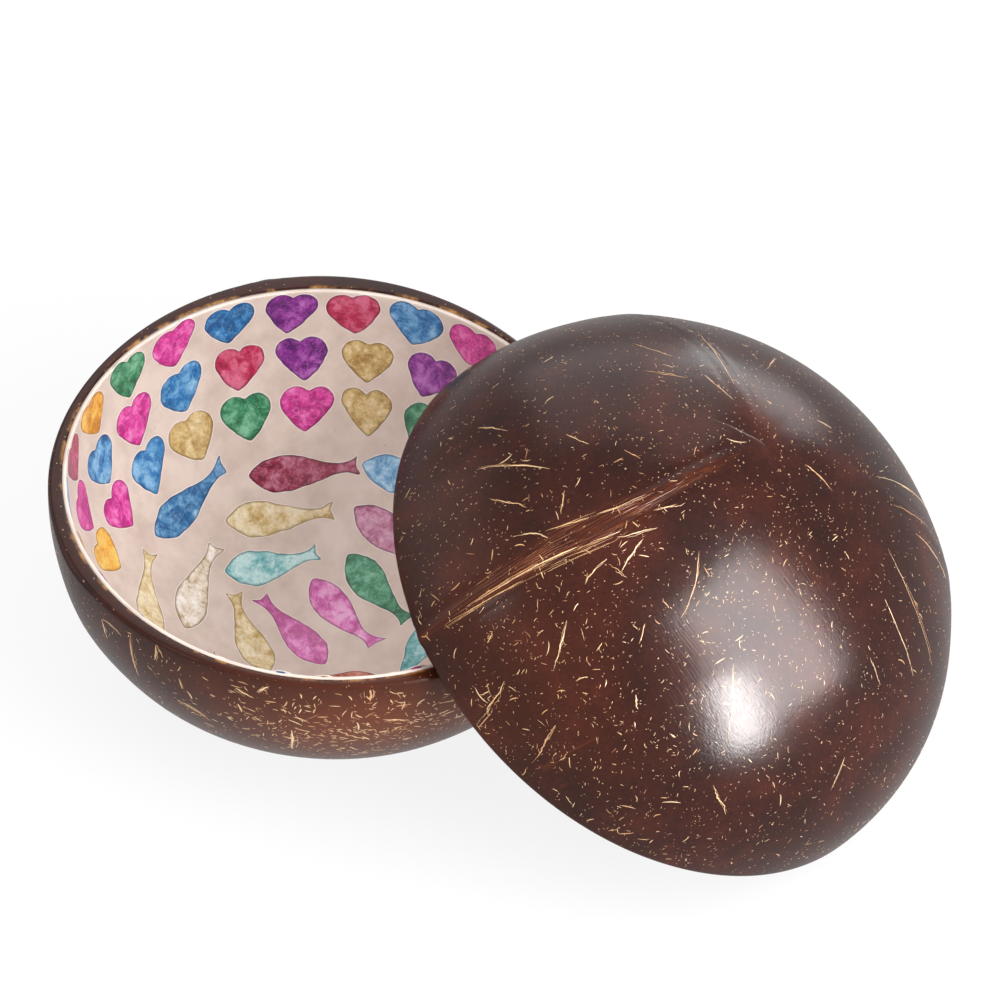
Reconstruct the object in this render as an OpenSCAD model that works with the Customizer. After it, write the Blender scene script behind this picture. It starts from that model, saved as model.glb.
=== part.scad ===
// A pair of polished coconut shell halves, lined with white lacquer and inlaid with hearts and fish.
// One half stands open on its sanded base. The other lies upside down, leaning on the rim of the first.
// Origin: centre of the open bowl's base, +Z up. Lengths are millimetres, angles are degrees.

/* [Open bowl] */
// Mean diameter of the open bowl across the outside of its rim
open_d = 128; // [124:0.5:140]
// Height of the open bowl from its base to its rim
open_h = 62; // [59:0.2:66]
// Mean thickness of the open bowl's shell at its rim
open_wall = 3.2; // [2.8:0.1:4.4]
// Diameter of the flat sanded on the open bowl's base
open_base_d = 26; // [20:1:34]

/* [Upturned bowl] */
// Mean diameter of the upturned bowl across the outside of its rim
upturned_d = 140.6; // [137:0.2:150]
// Depth of the upturned bowl from its rim to its crown
upturned_h = 61.8; // [59:0.2:67]
// Mean thickness of the upturned bowl's shell at its rim
upturned_wall = 4.2; // [3.8:0.1:5.4]
// Share of the upturned bowl's mouth, from its middle, at which it crosses the level of the open rim
lean_share = 0.633; // [0.55:0.001:0.75]
// Direction in which the upturned bowl lies from the open one
lean_direction = -9; // [-40:0.5:40]

/* [Shell] */
// Rounding of the rim's outer edge
rim_round = 0.9; // [0.4:0.1:1.2]
// Height of the ridges where the shell's three plates meet
ridge_h = 0.8; // [0:0.1:1.2]
// Half width of a ridge
ridge_w = 8; // [6:0.5:12]
// Thickness of the shell at the bottom of the bowl
bottom_t = 3.6; // [2.8:0.1:4.6]

/* [Lining] */
// Thickness of the white lacquer lining
lining_t = 1; // [0.8:0.05:1.4]
// Step from the shell's rim down to the edge of the lining
lining_step = 0.2; // [0.1:0.05:0.5]
// Film of glue between two layers
bond = 0.05; // [0.04:0.01:0.1]

/* [Inlays] */
// Thickness of the pieces of mother of pearl
inlay_t = 0.4; // [0.3:0.05:0.6]
// Clearance round a piece in its pocket in the lining
inlay_fit = 0.1; // [0.06:0.02:0.2]
// Width of a heart
heart_w = 12.7; // [9:0.1:13]
// Length of a heart from its lobes to its tip
heart_l = 11.6; // [9:0.1:12]
// Distance along the lining from the rim to the middle of the first ring of hearts
first_ring_drop = 6.5; // [6.4:0.1:7.5]
// Distance along the lining between two rings of hearts
ring_pitch = 12.6; // [12.4:0.1:13]
// Least gap between hearts in the first ring
first_ring_gap = 2.1; // [1.4:0.1:4]
// Least gap between hearts in the second ring
second_ring_gap = 2.5; // [1.4:0.1:4]
// Least gap between hearts in the third ring
third_ring_gap = 1.6; // [1.4:0.1:4]
// Length of a fish, as a share of the way from the bottom of the bowl to the innermost hearts
fish_l_share = 0.435; // [0.35:0.005:0.44]
// Width of a fish at its belly, as a share of its length
fish_w_share = 0.315; // [0.24:0.005:0.32]

/* [Hidden] */
$fn = 180;
// Overrun of a cut past the faces that it goes through
over = 1;
// Gap between the two bowls where the upturned one leans on the open one's rim
lean_gap = 0.3;

// Growth of each rim's outline from a circle: an oval and a rounded triangle, as shares of its radius, and
// the directions in which they are widest. Directions are seen from above the open mouth.
open_outline_shares = [-0.008, 0.0165];
open_outline_turns = [38, -29];
upturned_outline_shares = [0.0325, 0.0032];
upturned_outline_turns = [-35, 24];
// The fullness bends the quarter ellipse of a wall
open_fullness_share = 0.963;
upturned_fullness_share = 1;
// Directions of the ridges, from the crown
open_ridge_turns = [95, 215, 330];
upturned_ridge_turns = [127, 242, 342];

// A bowl is a list: radius of its rim, height from base to rim, wall at the rim, diameter of its flat base,
// fullness, outline shares, outline directions, ridge directions
open_bowl = [open_d / 2, open_h, open_wall, open_base_d, open_fullness_share,
    open_outline_shares, open_outline_turns, open_ridge_turns];
upturned_bowl = [upturned_d / 2, upturned_h, upturned_wall, 0, upturned_fullness_share,
    upturned_outline_shares, upturned_outline_turns, upturned_ridge_turns];
// Place of the crown, where the ridges meet, as shares of the rim's radius
crown_share = [-0.21, -0.03];
function rim_r(b) = b[0];
function height(b) = b[1];
function wall(b) = b[2];
function flat_r(b) = b[3] / 2;
function fullness_share(b) = b[4];
function outline_share(b, turn) =
    let (shares = b[5], turns = b[6])
    1 + shares[0] * cos(2 * (turn - turns[0])) + shares[1] * cos(3 * (turn - turns[1]));

// The flat cuts the crown off at the angle below the rim where the wall's radius is the flat's
function flat_down(b) = acos(pow(flat_r(b) / rim_r(b), 1 / fullness_share(b)));
function full_depth(b) = rim_round + (height(b) - rim_round) / sin(flat_down(b));

// A ridge swells the shell along a line, seen from above, that runs outward from the crown
function ridge_share(b, x, y) =
    let (dx = x - crown_share.x * rim_r(b), dy = y - crown_share.y * rim_r(b))
    max([for (a = b[7])
        let (along = dx * cos(a) + dy * sin(a), off = dy * cos(a) - dx * sin(a))
        exp(-pow(off / ridge_w, 2)) / (1 + exp(-2 * along / ridge_w))]);
function swelled(b, p) = p * (1 + ridge_h / rim_r(b) * ridge_share(b, p.x, p.y));

// Points of the outside, ring by ring, with the rim in the plane z = 0 and the crown below it
sectors = 72;
wall_rings = 18;
edge_slopes = [90, 60, 30];
last_down = 86;
function edge_point(b, turn, slope) =
    let (r = rim_r(b) * outline_share(b, turn) - rim_round * (1 - cos(slope)))
    [r * cos(turn), r * sin(turn), -rim_round * (1 - sin(slope))];
function wall_point(b, turn, down) =
    let (r = rim_r(b) * outline_share(b, turn) * pow(cos(down), fullness_share(b)),
         z = -rim_round - (full_depth(b) - rim_round) * sin(down))
    swelled(b, [r * cos(turn), r * sin(turn), z]);
function outside(b) = [
    for (slope = edge_slopes, s = [0 : sectors - 1])
        edge_point(b, 360 * s / sectors, slope),
    for (k = [0 : wall_rings - 1], s = [0 : sectors - 1])
        wall_point(b, 360 * s / sectors, last_down * k / (wall_rings - 1)),
    swelled(b, [0, 0, -full_depth(b)])];

// The blank of a shell: its outside, closed by a flat face across the rim
module blank(b) {
    points = outside(b);
    bands = len(edge_slopes) + wall_rings - 1;
    polyhedron(points, [
        [for (s = [0 : sectors - 1]) s],
        for (k = [0 : bands - 1], s = [0 : sectors - 1])
            let (t = (s + 1) % sectors, a = k * sectors, c = a + sectors)
            each [[a + t, a + s, c + t], [a + s, c + s, c + t]],
        for (s = [0 : sectors - 1])
            [bands * sectors + (s + 1) % sectors, bands * sectors + s, len(points) - 1]]);
}

// The inside is part of a sphere, through the inner edge of the rim and the bottom of the bowl
function inner_rim_r(b) = rim_r(b) - wall(b);
function inner_depth(b) = height(b) - bottom_t;
function centre_z(b) = (pow(inner_rim_r(b), 2) - pow(inner_depth(b), 2)) / (2 * inner_depth(b));
function cavity_r(b) = inner_depth(b) + centre_z(b);
function lining_r(b) = cavity_r(b) - bond - lining_t;
module ball(b, r)
    translate([0, 0, centre_z(b)])
        sphere(r);

module shell(b)
    difference() {
        blank(b);
        ball(b, cavity_r(b));
        if (flat_r(b) > 0)
            translate([0, 0, -height(b) - 2 * rim_r(b)])
                cylinder(r = rim_r(b), h = 2 * rim_r(b));
    }

// A heart with its tip along +X: two round lobes, and straight sides from them to the tip
lobe_share = 0.285;
module heart(w, l) {
    lobe = lobe_share * w;
    centre = [lobe - l / 2, w / 2 - lobe];
    tip = [l / 2, 0];
    touch = atan2(tip.y - centre.y, tip.x - centre.x) + acos(lobe / norm(tip - centre));
    side = centre + lobe * [cos(touch), sin(touch)];
    for (m = [1, -1])
        translate([centre.x, m * centre.y])
            circle(lobe);
    polygon([tip, side, centre, [centre.x, -centre.y], [side.x, -side.y]]);
}

// A fish with its nose along +X: a body between two arcs, and a stem that widens to a forked tail
body_share = 0.8;
tail_shares = [[-0.16, 0.2], [-0.33, 0.12], [-0.5, 0.27]];
fork_share = -0.43;
module fish(l, w) {
    body = body_share * l;
    arc = (body * body + w * w) / (4 * w);
    upper = [for (t = tail_shares) [t.x * l, t.y * w]];
    translate([(l - body) / 2, 0])
        intersection() {
            translate([0, w / 2 - arc])
                circle(arc);
            translate([0, arc - w / 2])
                circle(arc);
        }
    polygon([for (p = upper) p, [fork_share * l, 0], for (i = [2 : -1 : 0]) [upper[i].x, -upper[i].y]]);
}

// Stands a motif's prism in the lining: turn round the bowl, fall up from the bottom, spin about itself
module placed(b, turn, fall, spin) {
    r = lining_r(b);
    foot = sqrt(r * r - pow(fish_l(b) / 2, 2)) - over;
    translate([0, 0, centre_z(b)])
        rotate([0, 180 - fall, turn])
            rotate([0, 0, spin])
                translate([0, 0, foot])
                    linear_extrude(r + lining_t - foot)
                        children();
}

// Rings of hearts from the rim down: turn of the first heart, least gap, and the colours in order
heart_rings = [
    [59.5, first_ring_gap, ["pink", "blue", "crimson", "violet", "blue", "pink", "green", "amber", "crimson",
        "blue", "gold", "pink", "violet", "green", "blue", "amber", "pink", "crimson", "blue", "gold",
        "violet", "pink", "green", "crimson", "violet"]],
    [68.6, second_ring_gap, ["violet", "gold", "violet", "crimson", "blue", "pink", "blue", "pink", "gold",
        "green", "violet", "pink", "blue", "crimson", "amber", "blue", "pink", "violet", "green", "gold",
        "pink", "blue", "crimson"]],
    [66.4, third_ring_gap, ["green", "gold", "pink", "green", "gold", "blue", "pink", "amber", "violet",
        "blue", "pink", "green", "crimson", "gold", "blue", "pink", "amber", "violet", "green", "blue",
        "crimson", "pink"]]];
function ring_fall(b, k) =
    acos(centre_z(b) / lining_r(b)) - (first_ring_drop + k * ring_pitch) / lining_r(b) * 180 / PI;
// Each heart is laid by hand, a little askew
sway = 6;
module hearts(b, colour, fit)
    for (k = [0 : len(heart_rings) - 1]) {
        r = lining_r(b);
        first = heart_rings[k][0];
        colours = heart_rings[k][2];
        fall = ring_fall(b, k);
        count = floor(2 * PI * r * sin(fall) / (heart_w + heart_rings[k][1]));
        for (i = [0 : count - 1])
            if (colours[i % len(colours)] == colour)
                placed(b, first + 360 * i / count, fall, sway * sin(137 * i + 60 * k))
                    heart(heart_w - 2 * fit, heart_l - 2 * fit);
    }

// Shoal of fish: turn round the bowl, fall up from the bottom as a share of the innermost hearts' fall,
// heading, colour. A heading of 0 swims to the rim, and one of 90 swims round the bowl.
shoal_shares = [
    [142, 0.786, 92, "blue"], [100.5, 0.751, 90, "crimson"], [64, 0.794, 96, "sky"],
    [184.5, 0.751, 98, "gold"], [222, 0.672, 66, "blue"], [263, 0.759, 90, "pink"],
    [303, 0.786, 92, "green"], [343, 0.777, 88, "teal"], [24, 0.786, 90, "crimson"],
    [112, 0.585, 82, "gold"], [60, 0.55, 80, "mauve"], [165.5, 0.553, 97, "pearl"],
    [10, 0.576, 88, "gold"], [320, 0.559, 92, "blue"], [269, 0.532, 90, "mauve"],
    [123.5, 0.41, 77, "teal"], [53, 0.332, 73, "green"], [181, 0.297, 117, "gold"],
    [351, 0.384, 72, "teal"], [282, 0.218, 86, "coral"], [68, 0.166, 59, "pink"],
    [150, 0.129, 160, "pink"], [227, 0.419, 95, "pearl"]];
function last_fall(b) = ring_fall(b, len(heart_rings) - 1);
function fish_l(b) = fish_l_share * lining_r(b) * last_fall(b) * PI / 180;
module fishes(b, colour, fit)
    for (f = shoal_shares)
        if (f[3] == colour)
            placed(b, f[0], f[1] * last_fall(b), 180 - f[2])
                fish(fish_l(b) - 2 * fit, fish_w_share * fish_l(b) - 2 * fit);

// The lining, with a pocket for each piece that is set in it
module lining(b)
    difference() {
        intersection() {
            ball(b, cavity_r(b) - bond);
            translate([-rim_r(b), -rim_r(b), -lining_step - 2 * rim_r(b)])
                cube(2 * rim_r(b));
        }
        ball(b, lining_r(b));
        intersection() {
            ball(b, lining_r(b) + inlay_t + bond);
            union() {
                for (c = ["pink", "blue", "violet", "crimson", "gold", "amber", "green"])
                    hearts(b, c, 0);
                for (c = ["pink", "blue", "sky", "crimson", "mauve", "gold", "teal", "green", "pearl",
                        "coral"])
                    fishes(b, c, 0);
            }
        }
    }

// Pieces of mother of pearl, flush with the lining's face
module inlaid(b)
    difference() {
        intersection() {
            ball(b, lining_r(b) + inlay_t);
            children();
        }
        ball(b, lining_r(b));
    }

module in_open()
    translate([0, 0, open_h])
        children();

// The upturned bowl's lowest point is on the table. Its rim's inner edge leans on the open rim's outer edge
// at two places, one each side of the lean's direction, and the nearer of the two sets its distance.
lip_r = sqrt(pow(lining_r(upturned_bowl), 2) - pow(centre_z(upturned_bowl), 2)) - lean_gap;
low_r = max([for (p = outside(upturned_bowl)) p.x]);
lean_angle = asin(open_h / (low_r + lean_share * lip_r));
lean_rise = max([for (p = outside(upturned_bowl)) p.x * sin(lean_angle) + p.z * cos(lean_angle)]);
run = (open_h - lean_rise) / tan(lean_angle);
function reach(r) = run + sqrt(r * r + pow(run / cos(lean_angle), 2) - lip_r * lip_r);
contact = acos((reach(rim_r(open_bowl)) - run) / rim_r(open_bowl));
contact_r = rim_r(open_bowl) * max([for (m = [1, -1])
    outline_share(open_bowl, lean_direction + m * contact)]);
lean_distance = reach(contact_r);
module in_upturned()
    rotate([0, 0, lean_direction])
        translate([lean_distance, 0, lean_rise])
            rotate([0, lean_angle, 0])
                rotate([180, 0, 0])
                    children();

module open_shell() color("#3b2218") in_open() shell(open_bowl);
module open_lining() color("#efe6de") in_open() lining(open_bowl);
module open_hearts(colour) in_open() inlaid(open_bowl) hearts(open_bowl, colour, inlay_fit);
module open_hearts_pink() color("#e0409a") open_hearts("pink");
module open_hearts_blue() color("#2f79b5") open_hearts("blue");
module open_hearts_violet() color("#8a2a8c") open_hearts("violet");
module open_hearts_crimson() color("#b81f50") open_hearts("crimson");
module open_hearts_gold() color("#b8974e") open_hearts("gold");
module open_hearts_amber() color("#f0ae2e") open_hearts("amber");
module open_hearts_green() color("#2c8a5c") open_hearts("green");
module open_fish(colour) in_open() inlaid(open_bowl) fishes(open_bowl, colour, inlay_fit);
module open_fish_pink() color("#d867b0") open_fish("pink");
module open_fish_blue() color("#4d8fbc") open_fish("blue");
module open_fish_sky() color("#8fc6e6") open_fish("sky");
module open_fish_crimson() color("#9c2348") open_fish("crimson");
module open_fish_mauve() color("#b8648c") open_fish("mauve");
module open_fish_gold() color("#c8aa68") open_fish("gold");
module open_fish_teal() color("#79bfc4") open_fish("teal");
module open_fish_green() color("#3f9670") open_fish("green");
module open_fish_pearl() color("#d8c7ae") open_fish("pearl");
module open_fish_coral() color("#cf7f68") open_fish("coral");

module upturned_shell() color("#3b2218") in_upturned() shell(upturned_bowl);
module upturned_lining() color("#efe6de") in_upturned() lining(upturned_bowl);
module upturned_hearts(colour) in_upturned() inlaid(upturned_bowl) hearts(upturned_bowl, colour, inlay_fit);
module upturned_hearts_pink() color("#e0409a") upturned_hearts("pink");
module upturned_hearts_blue() color("#2f79b5") upturned_hearts("blue");
module upturned_hearts_violet() color("#8a2a8c") upturned_hearts("violet");
module upturned_hearts_crimson() color("#b81f50") upturned_hearts("crimson");
module upturned_hearts_gold() color("#b8974e") upturned_hearts("gold");
module upturned_hearts_amber() color("#f0ae2e") upturned_hearts("amber");
module upturned_hearts_green() color("#2c8a5c") upturned_hearts("green");
module upturned_fish(colour) in_upturned() inlaid(upturned_bowl) fishes(upturned_bowl, colour, inlay_fit);
module upturned_fish_pink() color("#d867b0") upturned_fish("pink");
module upturned_fish_blue() color("#4d8fbc") upturned_fish("blue");
module upturned_fish_sky() color("#8fc6e6") upturned_fish("sky");
module upturned_fish_crimson() color("#9c2348") upturned_fish("crimson");
module upturned_fish_mauve() color("#b8648c") upturned_fish("mauve");
module upturned_fish_gold() color("#c8aa68") upturned_fish("gold");
module upturned_fish_teal() color("#79bfc4") upturned_fish("teal");
module upturned_fish_green() color("#3f9670") upturned_fish("green");
module upturned_fish_pearl() color("#d8c7ae") upturned_fish("pearl");
module upturned_fish_coral() color("#cf7f68") upturned_fish("coral");

open_shell();
open_lining();
open_hearts_pink();
open_hearts_blue();
open_hearts_violet();
open_hearts_crimson();
open_hearts_gold();
open_hearts_amber();
open_hearts_green();
open_fish_pink();
open_fish_blue();
open_fish_sky();
open_fish_crimson();
open_fish_mauve();
open_fish_gold();
open_fish_teal();
open_fish_green();
open_fish_pearl();
open_fish_coral();
upturned_shell();
upturned_lining();
upturned_hearts_pink();
upturned_hearts_blue();
upturned_hearts_violet();
upturned_hearts_crimson();
upturned_hearts_gold();
upturned_hearts_amber();
upturned_hearts_green();
upturned_fish_pink();
upturned_fish_blue();
upturned_fish_sky();
upturned_fish_crimson();
upturned_fish_mauve();
upturned_fish_gold();
upturned_fish_teal();
upturned_fish_green();
upturned_fish_pearl();
upturned_fish_coral();
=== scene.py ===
# Two polished coconut shell bowls with dyed mother of pearl set in white lacquer.
# One stands open, and the other lies upside down with its rim leaning on the first.
import math

import bpy
import numpy as np
from mathutils import Matrix, Vector, geometry


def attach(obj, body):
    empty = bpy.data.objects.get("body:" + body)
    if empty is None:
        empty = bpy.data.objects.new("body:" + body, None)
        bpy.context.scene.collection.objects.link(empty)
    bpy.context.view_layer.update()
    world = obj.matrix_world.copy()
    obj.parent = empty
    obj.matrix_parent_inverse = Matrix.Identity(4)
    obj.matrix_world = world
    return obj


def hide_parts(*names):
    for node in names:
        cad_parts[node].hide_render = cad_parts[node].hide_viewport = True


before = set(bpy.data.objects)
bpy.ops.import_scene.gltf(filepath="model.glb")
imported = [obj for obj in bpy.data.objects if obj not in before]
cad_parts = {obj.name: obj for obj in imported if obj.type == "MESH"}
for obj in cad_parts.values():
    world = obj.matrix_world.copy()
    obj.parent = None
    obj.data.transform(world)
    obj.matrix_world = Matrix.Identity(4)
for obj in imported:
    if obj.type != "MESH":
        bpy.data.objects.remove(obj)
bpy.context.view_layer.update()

# Shells: two halves of coconut shell, hard dark brown stone, sawn across, scraped hollow, and sanded and
# polished outside. A coconut is a little three-sided, with low ridges where the husk's three plates met.
# Sizes are millimetres, with the mouth up and the rim at zero, and directions are degrees.
OPEN = dict(
    body="open_bowl", rim=64.0, height=62.0, wall=3.2, flat=13.0, fullness=0.963, scar=0.4, seed=3,
    grow=((-0.008, 38.0), (0.0165, -29.0)), ridges=(95.0, 215.0, 330.0),
    warm=(1.9, -1.35, 0.6, 18.0, 17.0))
UPTURNED = dict(
    body="upturned_bowl", rim=70.3, height=61.8, wall=4.2, flat=0.0, fullness=1.0, scar=1.0, seed=8,
    grow=((0.0325, -35.0), (0.0032, 24.0)), ridges=(127.0, 242.0, 342.0),
    warm=(0.35, 2.2, 0.6, 15.0, 22.0))
RIM_ROUND, BOTTOM_THICK, GLUE, LACQUER_THICK = 0.9, 3.6, 0.05, 1.0
# The crown, where the ridges meet, as shares of the rim's radius
CROWN = (-0.21, -0.03)
# Least is the share of its height that a ridge has where the husk left no scar
RIDGE_HEIGHT, RIDGE_HALF, RIDGE_LEAST = 0.8, 8.0, 0.45
# A narrow welt runs along the first ridge, with a groove each side. The other ridges have a share of it
WELT_HEIGHT, WELT_HALF, GROOVE_OFF, GROOVE_HALF, OTHER_RIDGES = 0.22, 1.1, 2.4, 0.8, 0.3
# How far from the crown the welt and its stain start, and how far the thick dots reach
WELT_START, STAIN_START, DOTS_WITHIN = 6, 12, 36
# The outside stays inside its solid by this share, so that fibres can stand proud of it
SANDED = 0.0016

for bowl in (OPEN, UPTURNED):
    inner, deep = bowl["rim"] - bowl["wall"], bowl["height"] - BOTTOM_THICK
    bowl["centre"] = (inner ** 2 - deep ** 2) / (2 * deep)
    bowl["cavity"] = deep + bowl["centre"]
    bowl["lined"] = bowl["cavity"] - GLUE - LACQUER_THICK
    bowl["flat_down"] = math.acos((bowl["flat"] / bowl["rim"]) ** (1 / bowl["fullness"]))
    bowl["full"] = RIM_ROUND + (bowl["height"] - RIM_ROUND) / math.sin(bowl["flat_down"])


def outline(bowl, turn):
    """The rim's radius in a direction, as a share: a little oval and a little three-sided."""
    return 1 + sum(share * np.cos(n * (turn - math.radians(widest)))
                   for n, (share, widest) in zip((2, 3), bowl["grow"]))


def circle(turn, radius, z):
    """A level ring of points."""
    return np.stack([radius * np.cos(turn), radius * np.sin(turn), np.full(len(turn), z)], 1)


def seam_places(bowl, x, y):
    """For points seen from above: distance off the nearest ridge, distance along it, nearness, and which."""
    best = None
    for k, direction in enumerate(bowl["ridges"]):
        east, north = math.cos(math.radians(direction)), math.sin(math.radians(direction))
        dx, dy = x - CROWN[0] * bowl["rim"], y - CROWN[1] * bowl["rim"]
        along, off = dx * east + dy * north, dy * east - dx * north
        near = np.exp(-(off / RIDGE_HALF) ** 2) / (1 + np.exp(-2 * along / RIDGE_HALF))
        now = [off, along, near, np.full_like(x, float(k))]
        best = now if best is None else [np.where(near > best[2], n, b) for n, b in zip(now, best)]
    return best


def scar_sides(along):
    """How far the husk's scar reaches to each side of the first ridge, at a distance from the crown."""
    lower = np.interp(along, [8, 25, 42, 52, 66], [-0.8, -2.2, -4.4, -2.8, -0.9])
    upper = np.interp(along, [8, 30, 50, 66], [0.6, 1.5, 4.4, 1.6])
    return lower, upper


def outside_points(bowl, turn, down):
    """Points of the sanded outside: turn round the bowl and down from its rim, in radians."""
    r = bowl["rim"] * outline(bowl, turn) * np.cos(down) ** bowl["fullness"]
    z = -RIM_ROUND - (bowl["full"] - RIM_ROUND) * np.sin(down)
    points = np.stack([r * np.cos(turn), r * np.sin(turn), z], -1)
    off, along, near, which = seam_places(bowl, points[..., 0], points[..., 1])
    first = np.where(which == 0, 1.0, OTHER_RIDGES) * bowl["scar"]
    # The welt starts a little way from the crown, and is faint where the bowl is flattest
    scar = first / (1 + np.exp(-(along - WELT_START) / 4)) * np.clip(6.2 - 6 * np.sin(down), 0, 1)
    welt = np.exp(-(off / WELT_HALF) ** 2) - np.exp(-((np.abs(off) - GROOVE_OFF) / GROOVE_HALF) ** 2)
    lift = RIDGE_HEIGHT * near * (RIDGE_LEAST + (1 - RIDGE_LEAST) * first) + WELT_HEIGHT * welt * scar
    return points * (1 - SANDED + lift / bowl["rim"])[..., None]


def lip_points(bowl, turn, slope):
    """Points of the rounded rim: slope is zero at its outer side and a quarter turn on its top."""
    r = bowl["rim"] * outline(bowl, turn) * (1 - SANDED) - RIM_ROUND * (1 - math.cos(slope))
    return circle(turn, r, -RIM_ROUND * (1 - math.sin(slope)))


def to_world(bowl, points):
    """Stands a bowl's points, in millimetres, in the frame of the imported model, in metres."""
    points = np.asarray(points, float) * 0.001
    if bowl is OPEN:
        return points + np.array([0, 0, OPEN["height"] * 0.001])
    return points * np.array([1, -1, -1]) @ UPTURNED["lean"][:3, :3].T + UPTURNED["lean"][:3, 3]


# The upturned bowl stands on the lowest point of its rim, and leans on the open one's rim at two places
LEAN_GAP, LEAN_SHARE, LEAN_DIRECTION = 0.3, 0.633, math.radians(-9)
turn = np.linspace(0, 2 * np.pi, 72, endpoint=False)
edge = [lip_points(UPTURNED, turn, math.radians(slope)) for slope in (90, 60, 30, 0)]
edge = np.concatenate(edge) / (1 - SANDED)
lip = math.sqrt(UPTURNED["lined"] ** 2 - UPTURNED["centre"] ** 2) - LEAN_GAP
angle = math.asin(OPEN["height"] / (edge[:, 0].max() + LEAN_SHARE * lip))
rise = float((edge[:, 0] * math.sin(angle) + edge[:, 2] * math.cos(angle)).max())
run = (OPEN["height"] - rise) / math.tan(angle)
half = math.sqrt(lip ** 2 - (run / math.cos(angle)) ** 2)
touch = math.asin(half / OPEN["rim"])
reach = OPEN["rim"] * max(float(outline(OPEN, LEAN_DIRECTION + side * touch)) for side in (1, -1))
away = run + math.sqrt(reach ** 2 - half ** 2)
UPTURNED["lean"] = np.array(
    Matrix.Rotation(LEAN_DIRECTION, 4, "Z") @ Matrix.Translation((away * 0.001, 0, rise * 0.001))
    @ Matrix.Rotation(angle, 4, "Y"))


def linear(colour):
    """The linear values of an sRGB hex colour."""
    parts = [int(colour[i:i + 2], 16) / 255 for i in (1, 3, 5)]
    return [c / 12.92 if c <= 0.04045 else ((c + 0.055) / 1.055) ** 2.4 for c in parts] + [1.0]


def feed(node, **inputs):
    """Sets a node's inputs by name, or by number after n_: values, colours, outputs of other nodes, or
    the nodes themselves, which give their first output."""
    for key, value in inputs.items():
        name = key.replace("_", " ").lower()
        if name.startswith("n "):
            socket = node.inputs[int(name[2:])]
        else:
            socket = next(s for s in node.inputs if s.enabled and s.name.lower().replace("-", " ") == name)
        if isinstance(value, bpy.types.Node):
            value = next(s for s in value.outputs if s.enabled)
        if isinstance(value, bpy.types.NodeSocket):
            node.id_data.links.new(value, socket)
        else:
            socket.default_value = linear(value) if isinstance(value, str) else value


def add(tree, kind, settings=(), stops=(), **inputs):
    """Adds a node with its own settings, the places and colours on its ramp, and its inputs."""
    made = tree.nodes.new("ShaderNode" + kind)
    for key, value in dict(settings).items():
        setattr(made, key, value)
    if stops:
        ramp = made.color_ramp.elements
        for mark, (place, colour) in zip(ramp, (stops[0], stops[-1])):
            mark.position, mark.color = place, linear(colour)
        for place, colour in stops[1:-1]:
            ramp.new(place).color = linear(colour)
    feed(made, **inputs)
    return made


def finish_of(name, **inputs):
    """A new material, its nodes, its shader, and the place on the piece, in metres, that patterns follow."""
    made = bpy.data.materials.new(name)
    made.use_nodes = True
    tree = made.node_tree
    shader = tree.nodes["Principled BSDF"]
    feed(shader, **inputs)
    return made, tree, shader, add(tree, "TexCoord").outputs["Object"]


scene = bpy.context.scene


def build(name, points, faces, finish, body, stands_for=(), layers=None):
    """Makes a piece from points in metres, with smooth faces, and sets it on its body."""
    mesh = bpy.data.meshes.new(name)
    mesh.from_pydata([tuple(p) for p in points], [], faces)
    for key, values in (layers or {}).items():
        values = np.asarray(values, np.float32)
        mesh.attributes.new(key, "FLOAT", "POINT").data.foreach_set("value", values)
    mesh.validate()
    mesh.shade_smooth()
    mesh.materials.append(finish)
    made = bpy.data.objects.new(name, mesh)
    scene.collection.objects.link(made)
    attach(made, body)
    if stands_for:
        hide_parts(*stands_for)


# Polished coconut shell: dark brown stone under oil and clear lacquer. It gives the eye a deep red-brown
# with a soft gloss, fine sanding scratches in its highlights, and the pale ends of fibres as dots.
# Pattern scales are 1000 over a size in millimetres.
shell_finish, tree, shader, spot = finish_of(
    "polished_coconut_shell", Roughness=0.55, Specular_IOR_Level=0.0, Coat_Weight=0.44,
    Coat_Roughness=0.21, Coat_IOR=1.45)
off, along, scar, crown, lip_share, warm = (
    add(tree, "Attribute", {"attribute_name": name}).outputs["Fac"]
    for name in ("off", "along", "scar", "crown", "lip", "warm"))
COLOURS = {"data_type": "RGBA"}
TIMES = {"operation": "MULTIPLY"}
patches = add(tree, "TexNoise", Vector=spot, Scale=1000 / 17, Detail=5.0, Roughness=0.62)
tone = add(tree, "ValToRGB", stops=((0.3, "#210a06"), (0.52, "#311109"), (0.78, "#471b10")), Fac=patches)
# The stone's grain is about 0.2 mm wide, which is too fine to show, and is drawn 0.9 mm wide
grain = add(tree, "TexNoise", Vector=spot, Scale=1000 / 0.9, Detail=4.0, Roughness=0.7)
grain_tone = add(tree, "MapRange", Value=grain, From_Min=0.3, From_Max=0.7, To_Min=0.72, To_Max=1.3)
grained = add(tree, "Mix", {"data_type": "RGBA", "blend_type": "MULTIPLY"}, n_0=1.0,
              n_6=tone, n_7=grain_tone)
# Rusty patches where the sanding has gone less deep, 25 mm apart, and one place on each bowl drawn redder and
# lighter
rust = add(tree, "TexNoise", Vector=spot, Scale=1000 / 25, Detail=6.0, Roughness=0.7, Distortion=0.6)
rust_share = add(tree, "MapRange", Value=rust, From_Min=0.66, From_Max=0.8, To_Max=0.5)
warm_share = add(tree, "Math", {"operation": "MULTIPLY_ADD"}, n_0=warm, n_1=0.28, n_2=rust_share)
rusted = add(tree, "Mix", COLOURS, n_0=warm_share, n_6=grained, n_7="#7c3f20")
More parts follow.
